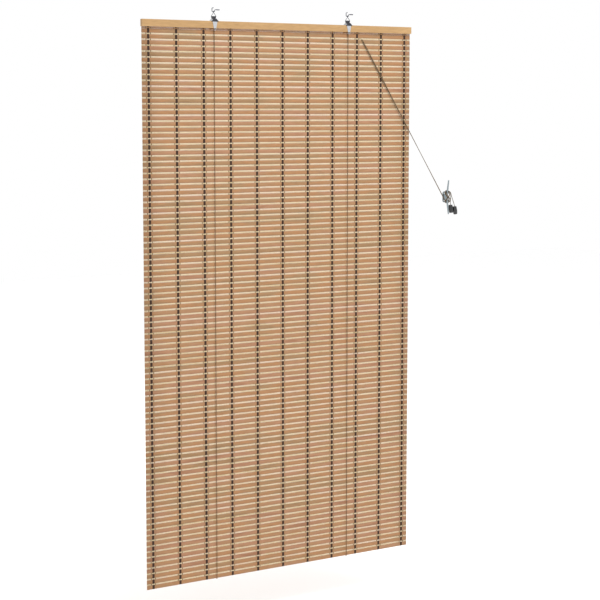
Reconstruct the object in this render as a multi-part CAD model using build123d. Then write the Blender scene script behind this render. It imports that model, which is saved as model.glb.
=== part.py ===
"""Bamboo roll-up blind with its hooks, hangers, lift cords, tassels and cleat.

Millimetres. X runs along the head rail to the right, Y from the front to the back, Z up.
The origin is the midpoint between the two hook seats that the blind hangs from.
Each sub-part is written to parts/NAME.step.
"""

import math
import os

from build123d import *

# ---- overall sizes
blind_width = 900.0
mat_drop = 1600.0

# ---- mat: wide slats and thin strips by turns, woven on warp threads
slat_thickness = 2.0
slat_chamfer = 0.5
wide_slat_height = 11.87
strip_height = 3.4
slat_gap = 0.34
first_strip_drop = 23.05
warp_rows = 11
warp_edge_margin = 20.0
dark_thread_width = 5.4
light_thread_width = 2.2
light_thread_offset = 6.7
thread_thickness = 0.7

# ---- sections of the mat that roll up one after another
fixed_rows = 5
section_count = 35
section_taper = 0.4

# ---- head rail and back lath
rail_height = 20.0
rail_thickness = 6.0
rail_overhang = 1.0
lath_thickness = 4.0

# ---- hangers
hanger_spacing = 450.0
seat_above_rail = 26.0
saddle_width = 21.0
saddle_height = 6.6
waist_width = 8.0
head_width = 12.4
head_height = 6.9
head_depth = 9.0
bracket_thickness = 1.6
front_lip_drop = 1.8
plate_width = 15.0
plate_tip_width = 5.0
plate_height = 24.5
plate_thickness = 0.8
cord_hole_rise = 4.0
cord_hole_clearance = 0.25
nail_radius = 0.9
nail_clearance = 0.05
nail_head_radius = 1.5
nail_head_height = 0.5
nail_pitch = 6.3
nail_drop = 7.3

# ---- bails and hooks
bail_wire_radius = 0.7
bail_half_width = 7.4
bail_end_gap = 7.0
bail_bend_radius = 1.3
bail_socket_drop = 2.6
bail_socket_clearance = 0.1
hook_eye_clearance = 0.3
hook_wire_radius = 1.1
hook_shank_radius = 1.5
hook_shank_length = 10.0
hook_height = 10.8
hook_tip_gap = 0.5
hook_bend_left = 5.2
hook_bend_right = 3.4
hook_arm_z = 5.6
hook_arm_end = 8.6
hook_bend_radii = [2.4, 2.6, 2.2, 2.4]

# ---- sheaves
sheave_radius = 7.0
sheave_groove_radius = 5.2
sheave_width = 5.4
sheave_flange = 0.35
sheave_bore_clearance = 0.05
sheave_side_clearance = 0.3
sheave_drop = 14.0
sheave_body_clearance = 0.8
cage_width = 15.0
axle_radius = 1.45
axle_hole_clearance = 0.03
axle_head_radius = 2.6
axle_head_height = 0.8

# ---- cords and tassels
cord_radius = 0.9
cord_spacing = 1.9
cord_groove_gap = 0.15
cord_under_gap = 0.3
cord_front_gap = 3.6
cord_start_y = -5.2
knot_radius = 1.9
hole_offset = 48.8
hole_width = 10.4
hole_height = 15.0
tassel_length = 25.0
tassel_radius = 7.0
tassel_socket_depth = 12.0

# ---- cleat and the turns of cord on it
cleat_offset = 592.0
cleat_drop = 517.0
cleat_back = 9.0
cleat_base_length = 34.0
cleat_base_width = 12.0
cleat_base_thickness = 2.5
cleat_screw_spacing = 23.0
cleat_screw_radius = 1.9
cleat_stem_length = 16.0
cleat_stem_width = 7.0
cleat_stem_depth = 12.0
horn_reach = 53.0
horn_root_radius = 3.3
horn_tip_radius = 2.0
horn_sweep = 9.0
wrap_half_width = 8.5
wrap_half_height = 24.0
wrap_front = -19.0
wrap_back = 3.0
wrap_corner = 5.0
wrap_clearance = 0.3

# ---- worked out from the sizes above
pitch = wide_slat_height + strip_height + 2 * slat_gap
row_count = round((mat_drop - first_strip_drop - pitch / 2) / pitch) + 1
rail_top = -seat_above_rail
rail_bottom = rail_top - rail_height
half_slat = slat_thickness / 2
mat_front = -half_slat - thread_thickness
mat_back = half_slat + thread_thickness
rail_front = mat_front - rail_thickness
lath_back = mat_back + lath_thickness
first_strip = rail_top - first_strip_drop
first_wide = first_strip + strip_height / 2 + slat_gap + wide_slat_height / 2
mat_top_edge = first_wide + wide_slat_height / 2
mat_bottom_edge = first_wide - row_count * pitch - wide_slat_height / 2
hanger_places = {"left": -hanger_spacing / 2, "right": hanger_spacing / 2}
warp_pitch = (blind_width - 2 * warp_edge_margin) / (warp_rows - 1)
warp_places = [(i - (warp_rows - 1) / 2) * warp_pitch for i in range(warp_rows)]
sheave_axis_z = rail_top - sheave_drop
front_leg_back = lath_back + bracket_thickness
sheave_front = front_leg_back + sheave_side_clearance
sheave_back = sheave_front + sheave_width
rear_cheek_front = sheave_back + sheave_side_clearance
rear_cheek_back = rear_cheek_front + bracket_thickness
sheave_middle = (sheave_front + sheave_back) / 2
hole_x = hanger_spacing / 2 + hole_offset
hole_z = first_strip - pitch
cleat_z = rail_top - cleat_drop
cord_run_radius = sheave_groove_radius + cord_radius + cord_groove_gap
nail_heights = [rail_top - nail_drop - i * nail_pitch for i in range(2)]
bail_socket_z = rail_top + saddle_height + head_height - bail_socket_drop
cord_hole_z = rail_top - front_lip_drop - plate_height + cord_hole_rise
knot_y = rail_front - plate_thickness - knot_radius - 0.05
cleat_bar_y = cleat_back - cleat_base_thickness - cleat_stem_depth
wrap_middle_y = (wrap_front + wrap_back) / 2


def box(low, high):
    """A box between two corners."""
    size = [b - a for a, b in zip(low, high)]
    centre = [(a + b) / 2 for a, b in zip(low, high)]
    return Pos(*centre) * Box(*size)


def prism_x(outline, low_x, high_x):
    """A solid with a closed outline of (y, z) points, from low_x to high_x."""
    face = Plane.YZ * make_face(Polyline(*outline, close=True))
    return Pos(low_x, 0, 0) * extrude(face, high_x - low_x)


def prism_y(outline, low_y, high_y):
    """A solid with a closed outline of (x, z) points, from low_y to high_y."""
    points = [(x, low_y, z) for x, z in outline]
    face = make_face(Polyline(*points, close=True))
    return extrude(face, high_y - low_y, dir=(0, 1, 0))


def rod_y(radius, x, z, low_y, high_y):
    """A round bar along Y."""
    return Pos(x, (low_y + high_y) / 2, z) * Rot(90, 0, 0) * Cylinder(radius, high_y - low_y)


def rod_x(radius, y, z, low_x, high_x):
    """A round bar along X."""
    return Pos((low_x + high_x) / 2, y, z) * Rot(0, 90, 0) * Cylinder(radius, high_x - low_x)


def tube(points, radii, radius):
    """A round bar along straight runs that tangent arcs join."""
    path = FilletPolyline(*points, radius=radii)
    section = Plane(origin=path @ 0, z_dir=path % 0) * Circle(radius)
    return sweep(section, path=path)


def corner_radii(points, share=0.45, least=0.0):
    """The largest tangent arcs that the runs on both sides of each corner allow."""
    radii = []
    for before, at, after in zip(points, points[1:], points[2:]):
        run_in = Vector(*at) - Vector(*before)
        run_out = Vector(*after) - Vector(*at)
        half_turn = math.radians(run_in.get_angle(run_out)) / 2
        shorter = min(run_in.length, run_out.length)
        radii.append(max(least, share * shorter / math.tan(half_turn)))
    return radii


def slat(z_centre, height):
    """One splint across the whole width, with its four long edges broken."""
    low_z = z_centre - height / 2
    high_z = z_centre + height / 2
    flat = half_slat - slat_chamfer
    outline = [
        (-flat, low_z),
        (flat, low_z),
        (half_slat, low_z + slat_chamfer),
        (half_slat, high_z - slat_chamfer),
        (flat, high_z),
        (-flat, high_z),
        (-half_slat, high_z - slat_chamfer),
        (-half_slat, low_z + slat_chamfer),
    ]
    return prism_x(outline, -blind_width / 2, blind_width / 2)


def wide_slat(row):
    return slat(first_wide - row * pitch, wide_slat_height)


def thin_strip(row):
    return slat(first_strip - row * pitch, strip_height)


def section_rows():
    """The first row of each rolling section, and the end. Upper sections have more rows."""
    rolling = row_count - fixed_rows + 1
    edges = []
    for k in range(section_count):
        t = k / section_count
        edges.append(fixed_rows + round(rolling * (t * (1 + section_taper) - section_taper * t * t)))
    return edges + [row_count]


def mat_top():
    """The rows behind the rail and just under it, notched where the pull cords come through."""
    pieces = []
    for row in range(fixed_rows):
        pieces += [wide_slat(row), thin_strip(row)]
    notch = box(
        (hole_x - hole_width / 2, -slat_thickness, hole_z - hole_height / 2),
        (hole_x + hole_width / 2, slat_thickness, hole_z + hole_height / 2),
    )
    holes = nail_holes()
    solids = []
    for piece in pieces:
        solids += (piece - notch - holes).solids()
    return Compound(children=solids)


def mat_section(first_row, end_row, with_last_slat):
    pieces = []
    for row in range(first_row, end_row):
        pieces += [wide_slat(row), thin_strip(row)]
    if with_last_slat:
        pieces.append(wide_slat(end_row))
    return Compound(children=[s for piece in pieces for s in piece.solids()])


def warp_thread(x, width, side):
    """One warp thread's run down the mat: on its front with side -1, on its back with side 1."""
    near = min(side * half_slat, side * (half_slat + thread_thickness))
    top = mat_top_edge - slat_chamfer
    bottom = mat_bottom_edge + slat_chamfer
    return box((x - width / 2, near, bottom), (x + width / 2, near + thread_thickness, top))


def warp_threads_dark():
    threads = [warp_thread(x, dark_thread_width, -1) for x in warp_places]
    return Compound(children=[s for t in threads for s in t.solids()])


def warp_threads_light():
    places = [x + side * light_thread_offset for x in warp_places for side in (-1, 1)]
    threads = [warp_thread(x, light_thread_width, 1) for x in places]
    return Compound(children=[s for t in threads for s in t.solids()])


def nail_places():
    return [(x, z) for x in hanger_places.values() for z in nail_heights]


def nail_holes():
    """The nails' holes through rail, mat and lath."""
    radius = nail_radius + nail_clearance
    return [rod_y(radius, x, z, rail_front - 1, lath_back + 1) for x, z in nail_places()]


def head_rail():
    half = blind_width / 2 + rail_overhang
    rail = box((-half, rail_front, rail_bottom), (half, mat_front, rail_top))
    rail = chamfer(rail.edges().filter_by(Axis.X), 0.6)
    return rail - nail_holes()


def back_lath():
    half = blind_width / 2
    lath = box((-half, mat_back, rail_bottom), (half, lath_back, rail_top))
    lath = chamfer(lath.edges().filter_by(Axis.X), 0.5)
    return lath - nail_holes()


def front_plate(x):
    """The bright V plate on the front of the rail, with its two nail holes and the cord's hole."""
    top = rail_top - front_lip_drop
    bottom = top - plate_height
    half_top = plate_width / 2
    half_tip = plate_tip_width / 2
    outline = [(x - half_top, top), (x + half_top, top), (x + half_tip, bottom), (x - half_tip, bottom)]
    plate = prism_y(outline, rail_front - plate_thickness, rail_front)
    plate = fillet(plate.edges().filter_by(Axis.Y).sort_by(Axis.Z)[:2], half_tip * 0.8)
    low = rail_front - plate_thickness - 1
    cord_hole = rod_y(cord_radius + cord_hole_clearance, x, cord_hole_z, low, rail_front + 1)
    holes = [rod_y(nail_radius + nail_clearance, x, z, low, rail_front + 1) for z in nail_heights]
    return plate - [cord_hole] - holes


def plate_nails():
    """Two nails at each hanger, through plate, rail, mat and lath."""
    nails = []
    plate_front = rail_front - plate_thickness
    for x, z in nail_places():
        shank = rod_y(nail_radius, x, z, plate_front, lath_back)
        head = rod_y(nail_head_radius, x, z, plate_front - nail_head_height, plate_front)
        nails += (shank + head).solids()
    return Compound(children=nails)


def hanger(x):
    """The black body: a saddle over rail and lath, a head for the bail, and a cage for the sheave."""
    saddle_front = rail_front - bracket_thickness
    saddle_top = rail_top + saddle_height
    head_top = saddle_top + head_height
    saddle_outline = [
        (x - saddle_width / 2, rail_top),
        (x + saddle_width / 2, rail_top),
        (x + waist_width / 2, saddle_top),
        (x - waist_width / 2, saddle_top),
    ]
    head_outline = [
        (x - waist_width / 2, saddle_top),
        (x + waist_width / 2, saddle_top),
        (x + head_width / 2, head_top),
        (x - head_width / 2, head_top),
    ]
    saddle = prism_y(saddle_outline, saddle_front, front_leg_back)
    head = prism_y(head_outline, -head_depth / 2, head_depth / 2)
    half_lip = saddle_width / 2
    lip = box((x - half_lip, saddle_front, rail_top - front_lip_drop), (x + half_lip, rail_front, rail_top))
    half_cage = cage_width / 2
    bridge_low = sheave_axis_z + sheave_radius + sheave_body_clearance
    bridge_high = bridge_low + bracket_thickness
    cage_low = sheave_axis_z - sheave_radius - 1.0
    leg = box((x - half_cage, lath_back, cage_low), (x + half_cage, front_leg_back, rail_top))
    bridge = box((x - half_cage, front_leg_back, bridge_low), (x + half_cage, rear_cheek_back, bridge_high))
    cheek = box((x - half_cage, rear_cheek_front, cage_low), (x + half_cage, rear_cheek_back, bridge_high))
    body = saddle + head + lip + leg + bridge + cheek
    axle_hole = rod_y(axle_radius + axle_hole_clearance, x, sheave_axis_z, lath_back, rear_cheek_back + 1)
    socket_radius = bail_wire_radius + bail_socket_clearance
    socket = rod_x(socket_radius, 0, bail_socket_z, x - head_width, x + head_width)
    return body - axle_hole - socket


def bail(x):
    """A wire bail: an eye for the hook, two legs, and ends turned into the head's cross hole."""
    eye_radius = hook_wire_radius + hook_eye_clearance + bail_wire_radius
    apex_z = -eye_radius
    knee_z = rail_top + saddle_height + head_height + bail_wire_radius
    points = [
        (x - bail_end_gap / 2, 0, bail_socket_z),
        (x - bail_half_width, 0, bail_socket_z),
        (x - bail_half_width, 0, knee_z),
        (x, 0, apex_z),
        (x + bail_half_width, 0, knee_z),
        (x + bail_half_width, 0, bail_socket_z),
        (x + bail_end_gap / 2, 0, bail_socket_z),
    ]
    wire = tube(points, [bail_bend_radius] * 5, bail_wire_radius)
    eye = Pos(x, 0, 0) * Rot(0, 90, 0) * Torus(eye_radius, bail_wire_radius)
    return wire + eye


def hook(x):
    """A bent wire hook. Its seat is at the origin's height, and its shank lies level along the rail."""
    points = [
        (x - hook_tip_gap, 0, hook_height),
        (x - hook_bend_left, 0, hook_height),
        (x - hook_bend_left, 0, 0),
        (x + hook_bend_right, 0, 0),
        (x + hook_bend_right, 0, hook_arm_z),
        (x + hook_arm_end, 0, hook_arm_z),
    ]
    wire = tube(points, hook_bend_radii, hook_wire_radius)
    shank = rod_x(hook_shank_radius, 0, hook_arm_z, x + hook_arm_end, x + hook_arm_end + hook_shank_length)
    return wire + shank


def sheave(x):
    """A grooved wheel on the axle, wide enough for two cords side by side."""
    bore = axle_radius + sheave_bore_clearance
    half = sheave_width / 2
    flange = sheave_flange
    profile = [
        (bore, -half),
        (sheave_radius, -half),
        (sheave_radius, -half + flange),
        (sheave_groove_radius, -half + 2 * flange),
        (sheave_groove_radius, half - 2 * flange),
        (sheave_radius, half - flange),
        (sheave_radius, half),
        (bore, half),
    ]
    face = Plane.XZ * make_face(Polyline(*profile, close=True))
    wheel = revolve(face, Axis.Z)
    return Pos(x, sheave_middle, sheave_axis_z) * Rot(90, 0, 0) * wheel


def sheave_axles():
    """A headed pin through both cheeks of each cage."""
    pins = []
    for x in hanger_places.values():
        pin = rod_y(axle_radius, x, sheave_axis_z, lath_back, rear_cheek_back)
        head = rod_y(axle_head_radius, x, sheave_axis_z, rear_cheek_back, rear_cheek_back + axle_head_height)
        pins += (pin + head).solids()
    return Compound(children=pins)


def lane_y(side):
    """Where a cord lies across the sheave's groove."""
    return sheave_middle + (-1 if side == "left" else 1) * cord_spacing / 2


def hole_point(side):
    """Where a cord goes through the mat."""
    return Vector(hole_x + (-1 if side == "left" else 1) * cord_spacing * 0.9, 0, hole_z)


def handover_points(side):
    """Two points on the taut run in front of the mat. The lift cord ends, and the pull cord starts, between them."""
    start = hole_point(side)
    first = Vector(start.X + 9, -cord_front_gap, start.Z - 16)
    wrap = wrap_entry(side)
    return first, first + (wrap - first) * 0.12


def wrap_entry(side):
    """Where the taut run meets the turns on the cleat."""
    shift = 0 if side == "left" else cord_spacing * 2.2
    return Vector(cleat_offset - wrap_half_width, wrap_middle_y, cleat_z - 13 + shift)


def lift_cord(side):
    """One cord from its knot at the hanger, under the mat, up the back, over the sheaves and through the mat."""
    x = hanger_places[side]
    y = lane_y(side)
    back_x = x - cord_run_radius
    top_z = sheave_axis_z + cord_run_radius
    bottom_z = mat_bottom_edge - cord_radius - cord_under_gap
    front_y = mat_front - cord_radius - cord_under_gap
    through = hole_point(side)
    fall = math.atan2(top_z - through.Z, through.X - hanger_places["right"])
    turn_x = hanger_places["right"] + cord_run_radius * math.tan(fall / 2)
    first, handover = handover_points(side)
    points = [
        (x, knot_y, cord_hole_z),
        (x, cord_start_y, cord_hole_z),
        (x, front_y, bottom_z),
        (x, -front_y, bottom_z),
        (back_x, y, top_z),
        (turn_x, y, top_z),
        (through.X - 19, y - 1.25, through.Z + 14),
        (through.X, through.Y, through.Z),
        (first.X, first.Y, first.Z),
        (handover.X, handover.Y, handover.Z),
    ]
    radii = corner_radii(points)
    for corner_on_sheave in (3, 4):
        radii[corner_on_sheave] = cord_run_radius - 0.05
    print("lift cord", side, "radii", [round(r, 1) for r in radii])
    knot = Pos(x, knot_y, cord_hole_z) * Sphere(knot_radius)
    return tube(points, radii, cord_radius) + knot


def pull_cord(side):
    """The same cord's taut run to the cleat, and its free end from the turns down to the tassel."""
    handover = handover_points(side)[1]
    entry = wrap_entry(side)
    run = tube_between(handover, entry)
    tail_points = free_end(side)
    tail_radii = corner_radii(tail_points)
    print("pull cord", side, "radii", [round(r, 1) for r in tail_radii])
    tail = tube(tail_points, tail_radii, cord_radius)
    return Compound(children=[*run.solids(), *tail.solids()])


def tube_between(start, end):
    path = Line(start, end)
    section = Plane(origin=start, z_dir=end - start) * Circle(cord_radius)
    return sweep(section, path=path)


def tassel_frame(side):
    """The middle of a tassel's top, and its direction down."""
    if side == "left":
        return Vector(cleat_offset + 10.9, -10.5, cleat_z - 24), Vector(0.08, -0.05, -1).normalized()
    return Vector(cleat_offset + 25.0, -12.5, cleat_z - 29), Vector(0.2, 0.05, -1).normalized()


def free_end(side):
    """The points of a cord's free end, from the turns into its tassel."""
    top, down = tassel_frame(side)
    end = top + down * tassel_socket_depth
    above = top - down * 6
    if side == "left":
        start = (cleat_offset + wrap_half_width, wrap_middle_y, cleat_z + 4)
        middle = (cleat_offset + wrap_half_width + 4, wrap_middle_y - 2, cleat_z - 6)
    else:
        start = (cleat_offset + wrap_half_width, wrap_middle_y, cleat_z + 12)
        middle = (cleat_offset + wrap_half_width + 9, wrap_middle_y - 3, cleat_z - 4)
    return [start, middle, (above.X, above.Y, above.Z), (end.X, end.Y, end.Z)]


def tassel(side):
    """A barrel with a blind socket that the cord's end sits in."""
    top, down = tassel_frame(side)
    end_radius = tassel_radius - 1.2
    side_arc = ThreePointArc(
        (end_radius, 0), (tassel_radius, -tassel_length / 2), (end_radius, -tassel_length)
    )
    outline = [Line((0, 0), (end_radius, 0)), side_arc]
    outline += [Line((end_radius, -tassel_length), (0, -tassel_length)), Line((0, -tassel_length), (0, 0))]
    face = Plane.XZ * make_face(outline)
    barrel = revolve(face, Axis.Z)
    rims = barrel.edges().filter_by(GeomType.CIRCLE)
    barrel = fillet(rims, 0.9)
    socket_radius = cord_radius + 0.2
    socket = Pos(0, 0, -tassel_socket_depth / 2) * Cylinder(socket_radius, tassel_socket_depth + 0.4)
    placed = Plane(origin=top, x_dir=(0, 1, 0), z_dir=-down)
    return placed * (barrel - socket)


def cleat_bar(extra):
    """The cleat's stem and its two horns, grown by extra all round."""
    bar_y = cleat_bar_y
    stem = box(
        (
            cleat_offset - cleat_stem_width / 2 - extra,
            bar_y,
            cleat_z - cleat_stem_length / 2 - extra,
        ),
        (
            cleat_offset + cleat_stem_width / 2 + extra,
            cleat_back - cleat_base_thickness,
            cleat_z + cleat_stem_length / 2 + extra,
        ),
    )
    bar = stem
    for up in (-1, 1):
        root = Vector(cleat_offset, bar_y, cleat_z)
        tip = Vector(cleat_offset, bar_y - horn_sweep, cleat_z + up * (horn_reach - horn_tip_radius))
        along = tip - root
        plane = Plane(origin=(root + tip) * 0.5, x_dir=(1, 0, 0), z_dir=along)
        cone = plane * Cone(horn_root_radius + extra, horn_tip_radius + extra, along.length)
        ball = Pos(tip.X, tip.Y, tip.Z) * Sphere(horn_tip_radius + extra)
        bar += cone + ball
    return bar + Pos(cleat_offset, bar_y, cleat_z) * Sphere(horn_root_radius + extra)


def cleat():
    """A cast cleat: a base with two countersunk screw holes, a stem and two horns."""
    base_front = cleat_back - cleat_base_thickness
    base_plane = Plane(origin=(cleat_offset, cleat_back, cleat_z), x_dir=(0, 0, 1), z_dir=(0, -1, 0))
    base = extrude(base_plane * SlotOverall(cleat_base_length, cleat_base_width), cleat_base_thickness)
    body = base + cleat_bar(0)
    for side in (-1, 1):
        z = cleat_z + side * cleat_screw_spacing / 2
        body -= rod_y(cleat_screw_radius, cleat_offset, z, base_front - 1, cleat_back + 1)
        sink = Cone(cleat_screw_radius, cleat_screw_radius + 1.2, 1.2)
        body -= Pos(cleat_offset, base_front + 0.6, z) * Rot(90, 0, 0) * sink
    return body


def cord_wrap():
    """The turns of both cords round the cleat, as one closed solid of their outer shape."""
    low = (cleat_offset - wrap_half_width, wrap_front, cleat_z - wrap_half_height)
    high = (cleat_offset + wrap_half_width, wrap_back, cleat_z + wrap_half_height)
    bundle = box(low, high)
    bundle = fillet(bundle.edges().filter_by(Axis.X), wrap_corner)
    return bundle - cleat_bar(wrap_clearance)


def write(name, shape):
    """Writes one sub-part. Several separate solids are kept as one group."""
    solids = shape.solids()
    shape = solids[0] if len(solids) == 1 else Compound(children=list(solids))
    export_step(shape, f"parts/{name}.step")


def main():
    os.makedirs("parts", exist_ok=True)
    write("head_rail", head_rail())
    write("back_lath", back_lath())
    write("mat_top", mat_top())
    rows = section_rows()
    for k in range(section_count):
        last = k == section_count - 1
        write(f"mat_section_{k + 1:02d}", mat_section(rows[k], rows[k + 1], last))
    write("warp_threads_dark", warp_threads_dark())
    write("warp_threads_light", warp_threads_light())
    for side, x in hanger_places.items():
        write(f"hook_{side}", hook(x))
        write(f"bail_{side}", bail(x))
        write(f"hanger_{side}", hanger(x))
        write(f"front_plate_{side}", front_plate(x))
        write(f"sheave_{side}", sheave(x))
        write(f"lift_cord_{side}", lift_cord(side))
        write(f"pull_cord_{side}", pull_cord(side))
        write(f"tassel_{side}", tassel(side))
    write("sheave_axles", sheave_axles())
    write("plate_nails", plate_nails())
    write("cleat", cleat())
    write("cord_wrap", cord_wrap())


main()
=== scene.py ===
"""The looks of the bamboo roll-up blind: woven mat, hardware, cords and studio.

The mat and the cords are worked out in millimetres in the part's frame: X right, Y to the back, Z up.
Their meshes, and the studio, are in metres.
"""

import math
import random

import bpy
from mathutils import Matrix, Vector


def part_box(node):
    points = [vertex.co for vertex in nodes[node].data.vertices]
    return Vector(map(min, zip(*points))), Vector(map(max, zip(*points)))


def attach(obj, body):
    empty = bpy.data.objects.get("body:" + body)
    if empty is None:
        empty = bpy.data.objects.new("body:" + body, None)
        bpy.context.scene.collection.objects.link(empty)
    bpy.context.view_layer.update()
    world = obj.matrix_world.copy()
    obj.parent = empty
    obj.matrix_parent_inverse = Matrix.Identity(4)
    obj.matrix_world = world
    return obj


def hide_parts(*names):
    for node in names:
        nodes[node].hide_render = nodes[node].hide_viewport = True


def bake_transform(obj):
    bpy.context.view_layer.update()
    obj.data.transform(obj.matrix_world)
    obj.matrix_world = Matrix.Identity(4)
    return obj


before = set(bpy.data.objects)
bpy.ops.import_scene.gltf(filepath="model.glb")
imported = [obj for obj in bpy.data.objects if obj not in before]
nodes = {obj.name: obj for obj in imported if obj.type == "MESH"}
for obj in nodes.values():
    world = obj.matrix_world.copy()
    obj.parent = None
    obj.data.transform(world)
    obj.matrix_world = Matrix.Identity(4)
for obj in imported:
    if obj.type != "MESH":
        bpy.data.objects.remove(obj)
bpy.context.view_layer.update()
MM = 0.001

# ---- mat, in millimetres
BLIND_WIDTH = 900.0
WIDE_HEIGHT = 11.87
STRIP_HEIGHT = 3.4
SLAT_GAP = 0.34
PITCH = WIDE_HEIGHT + STRIP_HEIGHT + 2 * SLAT_GAP
HALF_SLAT = 1.0
RAIL_TOP = -26.0
FIRST_STRIP = RAIL_TOP - 23.05
FIRST_WIDE = FIRST_STRIP + STRIP_HEIGHT / 2 + SLAT_GAP + WIDE_HEIGHT / 2
FIXED_ROWS = 5
WARP_PITCH = 86.0
WARP_COUNT = 11
DARK_WIDTH = 6.6
LIGHT_WIDTH = 2.8
LIGHT_OFFSET = 6.7
THREAD_THICKNESS = 0.7
SLAT_SPANS = 12
SLAT_WANDER = 0.07
SLAT_EDGE = 0.45
WIDE_CROWN = 0.25
STRIP_CROWN = 0.3
THREAD_STEPS = 10
THREAD_CLEARANCE = 0.05
CROSSING_WIDTH = 0.55
SECTION_LAP = 0.1
THREAD_END = 0.5

# ---- cords, in millimetres
CORD_RADIUS = 0.9
CORD_SPACING = 1.9
CORD_SIDES = 8
HANGER_X = 225.0
SHEAVE_Z = RAIL_TOP - 14.0
CORD_RUN_RADIUS = 6.25
HOLE_X = HANGER_X + 48.8
HOLE_Z = FIRST_STRIP - PITCH
CORD_BACK_Y = 2.9
CORD_FRONT_Y = -2.9
KNOT_Y = -10.45
CORD_HOLE_Z = -48.3
LANES = {"left": 9.35, "right": 11.25}
FRONT_CORD_LOW = -112.5
BACK_CORD_DROP = 30.0
LOOP_CLEARANCE = 0.3
CURVE_STEPS = 8
KNOT_RINGS = 8
KNOT_SIDES = 10
KNOT_LENGTH = 4.0
KNOT_RADIUS = 1.9

# ---- cleat, in millimetres
CLEAT_X = 592.0
CLEAT_Z = RAIL_TOP - 517.0
WRAP_TURNS = 1.75
WRAP_POINTS = 21
WRAP_START = 3 * math.pi / 4
WRAP_BACK_Y = -2.5
WRAP_FRONT_Y = -9.9
WRAP_REACH_X = 7.5
WRAP_REACH_Z = 12.2
WRAP_GROWTH_X = 0.6
WRAP_GROWTH_Z = 2.0
WRAP_STACK_START = 0.75
FIRST_STEP = Vector((9, -3.6, -16))
HANDOVER_SHARE = 0.12
TASSEL_NECK = 6.0
TASSEL_DEPTH = 9.0
FREE_END_STEP = Vector((1.5, 0, -9))

# ---- tones
STUDIO_GAIN = (0.63, 0.61, 0.53, 1.0)
TONE_RANGE = (0.2, 0.8)
PLAIN_TONE = 0.5

random.seed(11)


# ---- materials


def linear(*srgb):
    """A colour of 0 to 255 display values as linear values."""
    values = [c / 255 for c in srgb]
    return [c / 12.92 if c <= 0.04045 else ((c + 0.055) / 1.055) ** 2.4 for c in values] + [1.0]


def surface(*srgb):
    """The colour of a surface that shows as the given display colour under the studio's bright light."""
    return [value * gain for value, gain in zip(linear(*srgb), STUDIO_GAIN)]


def material(name, colour, roughness, metallic=0.0):
    """A plain Principled material."""
    made = bpy.data.materials.new(name)
    made.use_nodes = True
    shader = made.node_tree.nodes["Principled BSDF"]
    shader.inputs["Base Color"].default_value = colour
    shader.inputs["Roughness"].default_value = roughness
    shader.inputs["Metallic"].default_value = metallic
    return made


def noise_fac(tree, stretch, scale, detail=3.0):
    """Noise in the piece's own coordinates, stretched along the axes."""
    coordinates = tree.nodes.new("ShaderNodeTexCoord")
    mapping = tree.nodes.new("ShaderNodeMapping")
    mapping.inputs["Scale"].default_value = stretch
    noise = tree.nodes.new("ShaderNodeTexNoise")
    noise.inputs["Scale"].default_value = scale
    noise.inputs["Detail"].default_value = detail
    tree.links.new(coordinates.outputs["Object"], mapping.inputs["Vector"])
    tree.links.new(mapping.outputs["Vector"], noise.inputs["Vector"])
    return noise.outputs["Fac"]


def mix(tree, fac, first, second, blend="MIX"):
    """A colour mix. Each of fac, first and second is a socket or a constant."""
    node = tree.nodes.new("ShaderNodeMix")
    node.data_type = "RGBA"
    node.blend_type = blend
    for index, value in ((0, fac), (6, first), (7, second)):
        if isinstance(value, bpy.types.NodeSocket):
            tree.links.new(value, node.inputs[index])
        else:
            node.inputs[index].default_value = value
    return node.outputs[2]


def ramp(tree, fac, stops):
    """A colour ramp over (place, colour) stops."""
    node = tree.nodes.new("ShaderNodeValToRGB")
    elements = node.color_ramp.elements
    while len(elements) < len(stops):
        elements.new(0.5)
    for element, (place, colour) in zip(elements, stops):
        element.position = place
        element.color = colour
    tree.links.new(fac, node.inputs["Fac"])
    return node.outputs["Color"]


def bump(tree, shader, height, strength, distance):
    """Raises the shader's surface by a height socket."""
    node = tree.nodes.new("ShaderNodeBump")
    node.inputs["Strength"].default_value = strength
    node.inputs["Distance"].default_value = distance
    tree.links.new(height, node.inputs["Height"])
    tree.links.new(node.outputs["Normal"], shader.inputs["Normal"])


def wood(name, tones, grain_scale, roughness):
    """Wood whose tone differs from slat to slat and along each slat, with fine grain along X."""
    made = material(name, tones[0][1], roughness)
    tree = made.node_tree
    shader = tree.nodes["Principled BSDF"]
    tone = tree.nodes.new("ShaderNodeAttribute")
    tone.attribute_name = "tone"
    patches = noise_fac(tree, (8.0, 1.0, 62.0), 1.0, 2.0)
    shifted = tree.nodes.new("ShaderNodeMath")
    shifted.operation = "MULTIPLY_ADD"
    shifted.inputs[1].default_value = 1.5
    tree.links.new(patches, shifted.inputs[0])
    centred = tree.nodes.new("ShaderNodeMath")
    centred.operation = "SUBTRACT"
    centred.inputs[1].default_value = 0.75
    tree.links.new(tone.outputs["Fac"], centred.inputs[0])
    tree.links.new(centred.outputs[0], shifted.inputs[2])
    base = ramp(tree, shifted.outputs[0], tones)
    grain = noise_fac(tree, (6.0, 60.0, grain_scale), 8.0, 4.0)
    streaks = ramp(tree, grain, [(0.3, (0.86, 0.84, 0.82, 1)), (0.62, (1.05, 1.05, 1.05, 1))])
    tree.links.new(mix(tree, 1.0, base, streaks, "MULTIPLY"), shader.inputs["Base Color"])
    bump(tree, shader, grain, 0.25, 0.0002)
    return made


def fibre(name, dark, light, scale, roughness=0.85):
    """Thread or cord: two close tones in a fine twist, with a raised lay."""
    made = material(name, light, roughness)
    tree = made.node_tree
    shader = tree.nodes["Principled BSDF"]
    twist = noise_fac(tree, (1.0, 1.0, 1.6), scale, 2.0)
    colours = ramp(tree, twist, [(0.35, dark), (0.65, light)])
    tree.links.new(colours, shader.inputs["Base Color"])
    bump(tree, shader, twist, 0.6, 0.0003)
    return made


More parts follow.
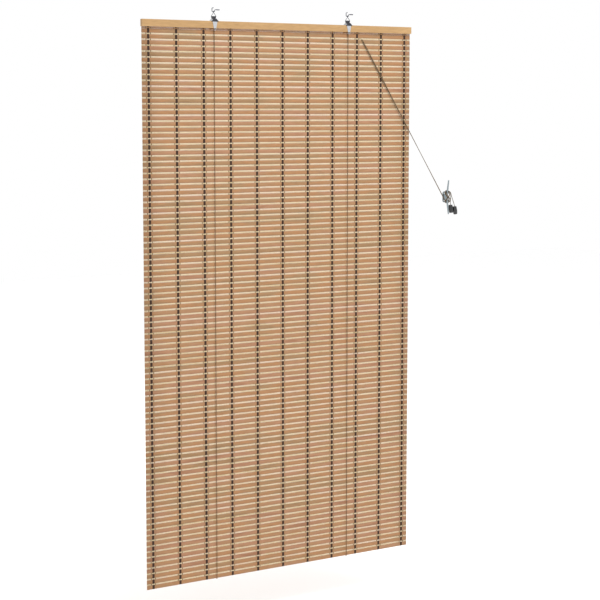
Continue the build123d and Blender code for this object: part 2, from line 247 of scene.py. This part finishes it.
WIDE_TONES = [
    (0.0, surface(180, 142, 103)),
    (0.25, surface(189, 148, 109)),
    (0.45, surface(202, 148, 104)),
    (0.6, surface(196, 150, 112)),
    (0.8, surface(203, 151, 119)),
    (1.0, surface(186, 134, 102)),
]
STRIP_TONES = [
    (0.0, surface(238, 214, 168)),
    (0.5, surface(252, 234, 200)),
    (1.0, surface(255, 232, 214)),
]
RAIL_TONES = [
    (0.0, surface(216, 174, 124)),
    (0.5, surface(230, 190, 140)),
    (1.0, surface(236, 200, 154)),
]
wide_wood = wood("bamboo_brown", WIDE_TONES, 90.0, 0.6)
strip_wood = wood("bamboo_cream", STRIP_TONES, 90.0, 0.5)
rail_wood = wood("rail_wood", RAIL_TONES, 60.0, 0.45)
dark_thread = fibre("thread_dark", surface(34, 16, 6), surface(82, 48, 24), 900.0)
light_thread = fibre("thread_light", surface(124, 104, 74), surface(176, 152, 116), 900.0)
cord_fibre = fibre("cord_brown", surface(92, 76, 54), surface(134, 112, 82), 700.0)
# A lighter copy of the lift cord's tones for its stretches on the mat: painted light, the cord itself is the
# same as cord_brown.
mat_cord_painted_light = fibre("cord_tan_painted_light", surface(128, 96, 66), surface(166, 128, 92), 700.0)
black_plastic = material("hanger_black", linear(38, 38, 46), 0.3)
bright_metal = material("bright_metal", linear(206, 208, 212), 0.24, 1.0)
wire_metal = material("wire_metal", linear(96, 98, 106), 0.35, 1.0)
cast_metal = material("cleat_metal", linear(148, 158, 162), 0.4, 1.0)
pale_plastic = material("sheave_plastic", linear(206, 200, 186), 0.45)
tassel_gloss = material("tassel_black", linear(22, 22, 24), 0.18)
tassel_gloss.node_tree.nodes["Principled BSDF"].inputs["Coat Weight"].default_value = 0.5


# ---- mesh helpers


class Builder:
    """Collects rings of millimetre points into one mesh with several materials."""

    def __init__(self):
        self.vertices = []
        self.faces = []
        self.face_materials = []
        self.tones = []

    def add(self, face, index):
        self.faces.append(face)
        self.face_materials.append(index)

    def rings(self, rings, index, tone):
        """Skins a row of closed rings of points, and closes its two ends."""
        start = len(self.vertices)
        size = len(rings[0])
        for ring in rings:
            self.vertices += ring
            self.tones += [tone] * size
        for r in range(len(rings) - 1):
            for i in range(size):
                a = start + r * size + i
                b = start + r * size + (i + 1) % size
                self.add((a, b, b + size, a + size), index)
        last = start + (len(rings) - 1) * size
        self.add(tuple(range(start + size - 1, start - 1, -1)), index)
        self.add(tuple(range(last, last + size)), index)

    def cord(self, points, index):
        """A cord along points."""
        self.rings(tube_rings(points, CORD_RADIUS, CORD_SIDES), index, PLAIN_TONE)

    def finish(self, name, materials):
        """The mesh object."""
        mesh = bpy.data.meshes.new(name)
        mesh.from_pydata([Vector(v) * MM for v in self.vertices], [], self.faces)
        for made in materials:
            mesh.materials.append(made)
        mesh.polygons.foreach_set("material_index", self.face_materials)
        mesh.polygons.foreach_set("use_smooth", [True] * len(self.faces))
        attribute = mesh.attributes.new("tone", "FLOAT", "POINT")
        attribute.data.foreach_set("value", self.tones)
        mesh.update()
        piece = bpy.data.objects.new(name, mesh)
        bpy.context.scene.collection.objects.link(piece)
        return piece


def tube_rings(points, radius, sides):
    """Rings round a line of points, carried along it without twist."""
    points = [Vector(p) for p in points]
    rings = []
    across = None
    for i, point in enumerate(points):
        before = points[max(i - 1, 0)]
        after = points[min(i + 1, len(points) - 1)]
        along = (after - before).normalized()
        if across is None:
            across = Vector((1, 0, 0)) if abs(along.x) < 0.8 else Vector((0, 1, 0))
        across = (across - along * across.dot(along)).normalized()
        other = along.cross(across)
        ring = []
        for s in range(sides):
            turn = 2 * math.pi * s / sides
            ring.append(point + (across * math.cos(turn) + other * math.sin(turn)) * radius)
        rings.append(ring)
    return rings


def slat_rings(z_centre, height, crown):
    """Closed sections of one slat at even steps along X: broken edges, crowned faces and a slight wander."""
    half = height / 2
    edge = min(SLAT_EDGE, half * 0.4)
    rings = []
    sway = [random.uniform(-SLAT_WANDER, SLAT_WANDER) for _ in range(SLAT_SPANS + 1)]
    for step in range(SLAT_SPANS + 1):
        x = -BLIND_WIDTH / 2 + BLIND_WIDTH * step / SLAT_SPANS
        z = z_centre + sway[step]
        side = HALF_SLAT - crown
        outline = [
            (-side + edge, -half),
            (side - edge, -half),
            (side, -half + edge),
            (HALF_SLAT, 0),
            (side, half - edge),
            (side - edge, half),
            (-side + edge, half),
            (-side, half - edge),
            (-HALF_SLAT, 0),
            (-side, -half + edge),
        ]
        rings.append([(x, y, z + up) for y, up in outline])
    return rings


def wave(z, over_wide):
    """Where a warp thread's middle is in Y: -1 in front of the slat, 1 behind it, at height z."""
    down = (FIRST_STRIP - z) / PITCH
    phase = (down - math.floor(down + 0.5)) * PITCH
    half_cross = STRIP_HEIGHT / 2 + SLAT_GAP / 2
    on_wide = 0.5 + 0.5 * math.tanh((abs(phase) - half_cross) / CROSSING_WIDTH)
    side = 1 - 2 * on_wide
    return side if over_wide else -side


def thread_rings(x, width, top, bottom, over_wide):
    """A flat thread that weaves over the wide slats and under the strips, or the other way."""
    rings = []
    rows = (top - bottom) / PITCH
    count = max(2, round(rows * THREAD_STEPS))
    half_thread = THREAD_THICKNESS / 2
    for step in range(count + 1):
        z = top + (bottom - top) * step / count
        y = wave(z, over_wide) * (HALF_SLAT + half_thread + THREAD_CLEARANCE)
        narrow = width / 2 * (0.92 if abs(y) < HALF_SLAT else 1.0)
        rings.append(
            [
                (x - narrow, y, z),
                (x - narrow * 0.6, y - half_thread, z),
                (x + narrow * 0.6, y - half_thread, z),
                (x + narrow, y, z),
                (x + narrow * 0.6, y + half_thread, z),
                (x - narrow * 0.6, y + half_thread, z),
            ]
        )
    return rings


# ---- mat


MAT_MATERIALS = [wide_wood, strip_wood, dark_thread, light_thread, mat_cord_painted_light]
WIDE, STRIP, DARK, LIGHT, CORD = range(len(MAT_MATERIALS))
WARP_PLACES = [(i - (WARP_COUNT - 1) / 2) * WARP_PITCH for i in range(WARP_COUNT)]


def back_cord_x(z):
    """The lift cord's run up the back leans from under the hanger to the sheave's side."""
    share = (z - mat_bottom) / (RAIL_TOP - mat_bottom)
    return -CORD_RUN_RADIUS * share


def row_wood(builder, row, with_strip=True):
    """One wide slat, and the thin strip above it."""
    rings = slat_rings(FIRST_WIDE - row * PITCH, WIDE_HEIGHT, WIDE_CROWN)
    builder.rings(rings, WIDE, random.uniform(*TONE_RANGE))
    if with_strip:
        rings = slat_rings(FIRST_STRIP - row * PITCH, STRIP_HEIGHT, STRIP_CROWN)
        # The strip right under the rail gets the brown slat wood instead of cream: painted shade standing in
        # for the rail's shadow on it.
        painted_rail_shadow = row == 0
        builder.rings(rings, WIDE if painted_rail_shadow else STRIP, random.uniform(*TONE_RANGE))


def mat_threads(builder, top, bottom):
    """The warp threads between two heights."""
    for x in WARP_PLACES:
        builder.rings(thread_rings(x, DARK_WIDTH, top, bottom, True), DARK, PLAIN_TONE)
        for side in (-1, 1):
            place = x + side * LIGHT_OFFSET
            rings = thread_rings(place, LIGHT_WIDTH, top, bottom, False)
            builder.rings(rings, LIGHT, PLAIN_TONE)


def mat_cords(builder, top, bottom, is_first, is_last):
    """The lift cords on both faces of the mat between two heights, joined under its lower edge."""
    for x in (-HANGER_X, HANGER_X):
        front = [(x, CORD_FRONT_Y, top), (x, CORD_FRONT_Y, bottom)]
        high = min(top, HOLE_Z - BACK_CORD_DROP)
        back = [(x + back_cord_x(z), CORD_BACK_Y, z) for z in (bottom, high)]
        if is_last:
            loop_z = mat_bottom - CORD_RADIUS - LOOP_CLEARANCE
            turn = [
                (x, CORD_FRONT_Y, mat_bottom + 1),
                (x, CORD_FRONT_Y + CORD_RADIUS, loop_z),
                (x, CORD_BACK_Y - CORD_RADIUS, loop_z),
                (x, CORD_BACK_Y, mat_bottom + 1),
            ]
            builder.cord(front + turn + back, CORD)
            continue
        if not is_first:
            builder.cord(front, CORD)
        builder.cord(back, CORD)


def mat_piece(name, node, rows, is_last, body):
    """One stretch of the woven mat, with its own length of every thread and of the lift cords."""
    first_row, end_row = rows
    is_first = first_row == 0
    builder = Builder()
    for row in range(first_row, end_row):
        row_wood(builder, row)
    if is_last:
        row_wood(builder, end_row, with_strip=False)
    edge = FIRST_WIDE + WIDE_HEIGHT / 2
    top = edge - THREAD_END if is_first else edge - first_row * PITCH + SECTION_LAP
    bottom = mat_bottom + THREAD_END if is_last else edge - end_row * PITCH + SECTION_LAP
    mat_threads(builder, top, bottom)
    cord_top = CORD_HOLE_Z if is_first else top
    cord_bottom = mat_bottom + 4 if is_last else bottom
    mat_cords(builder, cord_top, cord_bottom, is_first, is_last)
    piece = builder.finish(name, MAT_MATERIALS)
    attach(piece, body)
    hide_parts(node)
    return piece


section_nodes = sorted(n for n in nodes if n.startswith("mat_section_"))
mat_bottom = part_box(section_nodes[-1])[0].z / MM


def rows_between(node):
    """The first and end rows of a section, from the heights that its CAD node spans."""
    low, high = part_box(node)
    first = round((FIRST_WIDE + WIDE_HEIGHT / 2 - high.z / MM) / PITCH)
    end = round((FIRST_WIDE + WIDE_HEIGHT / 2 - low.z / MM) / PITCH)
    return first, end


top_piece = mat_piece("woven_mat_top", "mat_top", (0, FIXED_ROWS), False, "blind")
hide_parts("warp_threads_dark", "warp_threads_light")
for place, node in enumerate(section_nodes, start=1):
    first_row, end_row = rows_between(node)
    is_last = node == section_nodes[-1]
    if is_last:
        end_row = round((FIRST_WIDE - WIDE_HEIGHT / 2 - mat_bottom) / PITCH)
    rows = (first_row, end_row)
    mat_piece(f"woven_mat_{place:02d}", node, rows, is_last, f"section_{place:02d}")


# ---- cords


def nurbs_line(name, route):
    """Close points along a smooth curve whose control points are the route's, in millimetres."""
    curve = bpy.data.curves.new(name, "CURVE")
    curve.dimensions = "3D"
    spline = curve.splines.new("NURBS")
    spline.points.add(len(route) - 1)
    for control, point in zip(spline.points, route):
        control.co = (point[0], point[1], point[2], 1.0)
    spline.order_u = 3
    spline.use_endpoint_u = True
    spline.resolution_u = CURVE_STEPS
    carrier = bpy.data.objects.new(name, curve)
    bpy.context.scene.collection.objects.link(carrier)
    bpy.context.view_layer.update()
    mesh = bpy.data.meshes.new_from_object(carrier)
    line = [v.co.copy() for v in mesh.vertices]
    bpy.data.meshes.remove(mesh)
    bpy.data.objects.remove(carrier)
    bpy.data.curves.remove(curve)
    return line


def hole_point(side):
    """Where a cord comes through the mat."""
    sign = -1 if side == "left" else 1
    return Vector((HOLE_X + sign * CORD_SPACING * 0.9, 0, HOLE_Z))


def knot_rings(x):
    """A lumpy knot in front of the rail."""
    middle = KNOT_RINGS / 2
    centres = [
        Vector((x, KNOT_Y + KNOT_LENGTH * (i - middle) / KNOT_RINGS, CORD_HOLE_Z))
        for i in range(KNOT_RINGS + 1)
    ]
    rings = []
    for i, ring in enumerate(tube_rings(centres, 1.0, KNOT_SIDES)):
        round_off = math.sqrt(max(0.02, 1 - ((i - middle) / (middle + 0.2)) ** 2))
        swell = KNOT_RADIUS * round_off + 0.15 * math.sin(2.4 * i)
        rings.append([centres[i] + (p - centres[i]) * swell for p in ring])
    return rings


def lift_cord_top(side):
    """The knotted start in front of the rail, and the run at the back over the sheaves to the hole."""
    x = -HANGER_X if side == "left" else HANGER_X
    lane = LANES[side]
    through = hole_point(side)
    top_z = SHEAVE_Z + CORD_RUN_RADIUS
    front = nurbs_line(
        f"front_{side}",
        [
            (x, KNOT_Y, CORD_HOLE_Z),
            (x, -6.0, CORD_HOLE_Z),
            (x, -3.2, CORD_HOLE_Z - 1),
            (x, CORD_FRONT_Y, CORD_HOLE_Z - 5),
            (x, CORD_FRONT_Y, FRONT_CORD_LOW),
        ],
    )
    side_x = x - CORD_RUN_RADIUS
    back_low = HOLE_Z - BACK_CORD_DROP - 1
    back = nurbs_line(
        f"back_{side}",
        [
            (x + back_cord_x(back_low), CORD_BACK_Y, back_low),
            (side_x, CORD_BACK_Y + 1, -80),
            (side_x, lane, -52),
            (side_x, lane, top_z - 3),
            (side_x, lane, top_z),
            (side_x + 3, lane, top_z),
            (side_x + 12, lane, top_z),
            (HANGER_X - 4, lane, top_z),
            (HANGER_X + 2.1, lane, top_z),
            (through.x - 19, lane - 1.25, through.z + 14),
            (through.x, through.y, through.z),
        ],
    )
    builder = Builder()
    builder.cord(front, 0)
    builder.cord(back, 0)
    builder.rings(knot_rings(x), 0, PLAIN_TONE)
    piece = builder.finish(f"lift_cord_top_{side}", [cord_fibre])
    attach(piece, "blind")
    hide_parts(f"lift_cord_{side}")


def turns(side):
    """Figure-eight turns round the cleat's horns, each pass lying in front of the one before."""
    late = 0 if side == "left" else 1
    points = []
    for step in range(WRAP_POINTS + 1):
        half_turns = 2 * WRAP_TURNS * step / WRAP_POINTS
        angle = WRAP_START + math.pi * half_turns
        reach_x = WRAP_REACH_X + WRAP_GROWTH_X * (half_turns + late)
        reach_z = WRAP_REACH_Z + WRAP_GROWTH_Z * (half_turns + late)
        front_y = WRAP_FRONT_Y - CORD_SPACING * (2 * (half_turns - WRAP_STACK_START) + late)
        front_y = min(front_y, WRAP_FRONT_Y)
        in_front = (1 - math.cos(2 * angle)) / 2
        points.append(
            (
                CLEAT_X + reach_x * math.sin(2 * angle),
                WRAP_BACK_Y + (front_y - WRAP_BACK_Y) * in_front,
                CLEAT_Z + reach_z * math.cos(angle),
            )
        )
    return points


TASSEL_TOPS = {
    "left": (Vector((CLEAT_X + 10.9, -10.5, CLEAT_Z - 24)), Vector((0.08, -0.05, -1)).normalized()),
    "right": (Vector((CLEAT_X + 25.0, -12.5, CLEAT_Z - 29)), Vector((0.2, 0.05, -1)).normalized()),
}


def pull_cord(side):
    """The taut run from the hole to the cleat, the turns on it, and the free end with its tassel."""
    start = hole_point(side)
    first = start + FIRST_STEP
    wound = turns(side)
    entry = Vector(wound[0])
    handover = first + (entry - first) * HANDOVER_SHARE
    middle = first.lerp(entry, 0.5)
    tassel_top, down = TASSEL_TOPS[side]
    above = tassel_top - down * TASSEL_NECK
    end = tassel_top + down * TASSEL_DEPTH
    aside = Vector(wound[-1]) + FREE_END_STEP
    route = [start, first, handover, middle, *wound, aside, above, tassel_top, end]
    line = nurbs_line(f"route_{side}", route)
    builder = Builder()
    builder.cord(line, 0)
    piece = builder.finish(f"pull_cord_run_{side}", [cord_fibre])
    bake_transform(piece)
    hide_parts(f"pull_cord_{side}", "cord_wrap")


for side in ("left", "right"):
    lift_cord_top(side)
    pull_cord(side)


# ---- CAD nodes that keep their shape


def dress(name, finish):
    """Gives a CAD node its material."""
    data = nodes[name].data
    data.materials.clear()
    data.materials.append(finish)


for name in ("head_rail", "back_lath"):
    dress(name, rail_wood)
for name in ("plate_nails", "sheave_axles"):
    dress(name, bright_metal)
dress("cleat", cast_metal)
for side in ("left", "right"):
    dress(f"hook_{side}", wire_metal)
    dress(f"bail_{side}", wire_metal)
    dress(f"hanger_{side}", black_plastic)
    dress(f"front_plate_{side}", bright_metal)
    dress(f"sheave_{side}", pale_plastic)
    dress(f"tassel_{side}", tassel_gloss)


# ---- studio, in metres


FLOOR_Z = -1.76
CAMERA = Vector((-2.4175, -3.9833, -0.2635))
YAW = 0.5564
TILT = math.radians(6.0)
FOCAL_LENGTH = 96.2
SHIFT_Y = -0.0419


def studio():
    """A white surround and a pale floor."""
    world = bpy.data.worlds.new("studio")
    world.use_nodes = True
    background = world.node_tree.nodes["Background"]
    background.inputs["Color"].default_value = (1, 1, 1, 1)
    background.inputs["Strength"].default_value = 1.0
    bpy.context.scene.world = world
    bpy.context.scene.view_settings.view_transform = "Standard"
    floor_mesh = bpy.data.meshes.new("floor")
    reach = 9.0
    corners = [(-reach, -reach), (reach, -reach), (reach, reach), (-reach, reach)]
    floor_mesh.from_pydata([(x, y, FLOOR_Z) for x, y in corners], [], [(0, 1, 2, 3)])
    floor_mesh.materials.append(material("floor_pale", linear(254, 254, 254), 0.95))
    floor = bpy.data.objects.new("floor", floor_mesh)
    bpy.context.scene.collection.objects.link(floor)


def area_light(name, place, target, size, energy):
    """A soft light that points at target."""
    light = bpy.data.lights.new(name, "AREA")
    light.size = size
    light.energy = energy
    lamp = bpy.data.objects.new(name, light)
    lamp.location = place
    lamp.rotation_euler = (Vector(target) - Vector(place)).to_track_quat("-Z", "Y").to_euler()
    bpy.context.scene.collection.objects.link(lamp)


def camera():
    """Looks along YAW and down by TILT."""
    data = bpy.data.cameras.new("camera")
    data.sensor_width = 36.0
    data.lens = FOCAL_LENGTH
    data.shift_y = SHIFT_Y
    data.clip_end = 50.0
    eye = bpy.data.objects.new("camera", data)
    ahead = Vector((math.sin(YAW), math.cos(YAW), 0))
    look = ahead * math.cos(TILT) + Vector((0, 0, -math.sin(TILT)))
    right = look.cross(Vector((0, 0, 1))).normalized()
    up = right.cross(look)
    turned = Matrix((right, up, -look)).transposed().to_4x4()
    eye.matrix_world = Matrix.Translation(CAMERA) @ turned
    bpy.context.scene.collection.objects.link(eye)
    bpy.context.scene.camera = eye


studio()
area_light("key", (0.7, -2.4, 2.6), (0, 0, -0.8), 1.6, 85.0)
area_light("back_fill", (0.5, 3.0, 1.2), (0, 0, -0.8), 2.5, 40.0)
camera()
